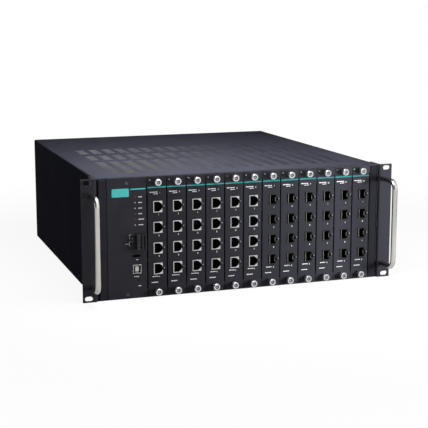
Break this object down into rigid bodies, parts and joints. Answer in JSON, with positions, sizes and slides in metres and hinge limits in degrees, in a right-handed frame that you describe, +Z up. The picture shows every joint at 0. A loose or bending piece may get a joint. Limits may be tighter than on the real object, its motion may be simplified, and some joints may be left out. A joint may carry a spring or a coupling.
{
  "type": "modular network switch chassis",
  "caption": "Rack-mount network switch chassis with bar handles, plug-in port modules held by thumbscrews, a control panel, a vented cover and slide-in power modules.",
  "frame": {"origin": "under the centre of the whole, on the surface that the chassis stands on", "axes": "+X to the right seen from the front, +Y from the front towards the rear, +Z up"},
  "size_m": [0.4826, 0.5238, 0.176],
  "materials": {
    "black_steel": "fine satin powder coat",
    "slate_cover": "fine satin powder coat",
    "zinc_steel": "zinc plated sheet",
    "nickel_bar": "satin nickel",
    "bright_screw": "bright nickel",
    "connector_metal": "tinned sheet",
    "black_plastic": "moulded, matt",
    "light_pipe": "clear moulded light pipe",
    "circuit_board": "solder mask"
  },
  "bodies": {
    "chassis": {"top_cover": "slate_cover", "base_tray": "black_steel", "front_frame": "black_steel", "cover_braces": "zinc_steel", "rear_panel": "black_steel", "left_ear": "black_steel", "right_ear": "black_steel", "left_handle": "nickel_bar", "right_handle": "nickel_bar", "card_guides": "black_plastic", "midplane_board": "circuit_board", "switch_board": "circuit_board", "control_panel": "black_steel", "control_board": "circuit_board", "status_lights": "light_pipe", "terminal_header": "black_plastic", "storage_port": "connector_metal", "console_port": "connector_metal"},
    "module_01": {"module_01_panel": "black_steel", "module_01_board": "connector_metal", "module_01_screws": "bright_screw"},
    "module_02": {"module_02_panel": "black_steel", "module_02_board": "connector_metal", "module_02_screws": "bright_screw"},
    "module_03": {"module_03_panel": "black_steel", "module_03_board": "connector_metal", "module_03_screws": "bright_screw"},
    "module_04": {"module_04_panel": "black_steel", "module_04_board": "connector_metal", "module_04_screws": "bright_screw"},
    "module_05": {"module_05_panel": "black_steel", "module_05_board": "connector_metal", "module_05_screws": "bright_screw"},
    "module_06": {"module_06_panel": "black_steel", "module_06_board": "connector_metal", "module_06_screws": "bright_screw"},
    "module_07": {"module_07_panel": "black_steel", "module_07_board": "connector_metal", "module_07_screws": "bright_screw"},
    "module_08": {"module_08_panel": "black_steel", "module_08_board": "connector_metal", "module_08_screws": "bright_screw"},
    "module_09": {"module_09_panel": "black_steel", "module_09_board": "connector_metal", "module_09_screws": "bright_screw"},
    "module_10": {"module_10_panel": "black_steel", "module_10_board": "connector_metal", "module_10_screws": "bright_screw"},
    "module_11": {"module_11_panel": "black_steel", "module_11_board": "connector_metal", "module_11_screws": "bright_screw"},
    "module_12": {"module_12_panel": "black_steel", "module_12_board": "connector_metal", "module_12_screws": "bright_screw"},
    "power_module_1": {"power_module_1_case": "zinc_steel", "power_module_1_board": "circuit_board"},
    "power_module_2": {"power_module_2_case": "zinc_steel", "power_module_2_board": "circuit_board"},
    "terminal_plug": {"terminal_plug": "black_plastic"},
    "reset_button": {"reset_button": "black_plastic"}
  },
  "joints": [
    {"name": "module_01_slide", "type": "slide", "parent": "chassis", "child": "module_01", "axis": [0, -1, 0], "range_m": [0, 0.18]},
    {"name": "module_02_slide", "type": "slide", "parent": "chassis", "child": "module_02", "axis": [0, -1, 0], "range_m": [0, 0.18]},
    {"name": "module_03_slide", "type": "slide", "parent": "chassis", "child": "module_03", "axis": [0, -1, 0], "range_m": [0, 0.18]},
    {"name": "module_04_slide", "type": "slide", "parent": "chassis", "child": "module_04", "axis": [0, -1, 0], "range_m": [0, 0.18]},
    {"name": "module_05_slide", "type": "slide", "parent": "chassis", "child": "module_05", "axis": [0, -1, 0], "range_m": [0, 0.18]},
    {"name": "module_06_slide", "type": "slide", "parent": "chassis", "child": "module_06", "axis": [0, -1, 0], "range_m": [0, 0.18]},
    {"name": "module_07_slide", "type": "slide", "parent": "chassis", "child": "module_07", "axis": [0, -1, 0], "range_m": [0, 0.18]},
    {"name": "module_08_slide", "type": "slide", "parent": "chassis", "child": "module_08", "axis": [0, -1, 0], "range_m": [0, 0.18]},
    {"name": "module_09_slide", "type": "slide", "parent": "chassis", "child": "module_09", "axis": [0, -1, 0], "range_m": [0, 0.18]},
    {"name": "module_10_slide", "type": "slide", "parent": "chassis", "child": "module_10", "axis": [0, -1, 0], "range_m": [0, 0.18]},
    {"name": "module_11_slide", "type": "slide", "parent": "chassis", "child": "module_11", "axis": [0, -1, 0], "range_m": [0, 0.18]},
    {"name": "module_12_slide", "type": "slide", "parent": "chassis", "child": "module_12", "axis": [0, -1, 0], "range_m": [0, 0.18]},
    {"name": "power_module_1_slide", "type": "slide", "parent": "chassis", "child": "power_module_1", "axis": [0, 1, 0], "range_m": [0, 0.15]},
    {"name": "power_module_2_slide", "type": "slide", "parent": "chassis", "child": "power_module_2", "axis": [0, 1, 0], "range_m": [0, 0.15]},
    {"name": "terminal_plug_pull", "type": "slide", "parent": "chassis", "child": "terminal_plug", "axis": [0, -1, 0], "range_m": [0, 0.03]},
    {"name": "reset_press", "type": "slide", "parent": "chassis", "child": "reset_button", "axis": [0, 1, 0], "range_m": [0, 0.001], "stiffness_N_per_m": 400, "springref_m": -0.001}
  ]
}
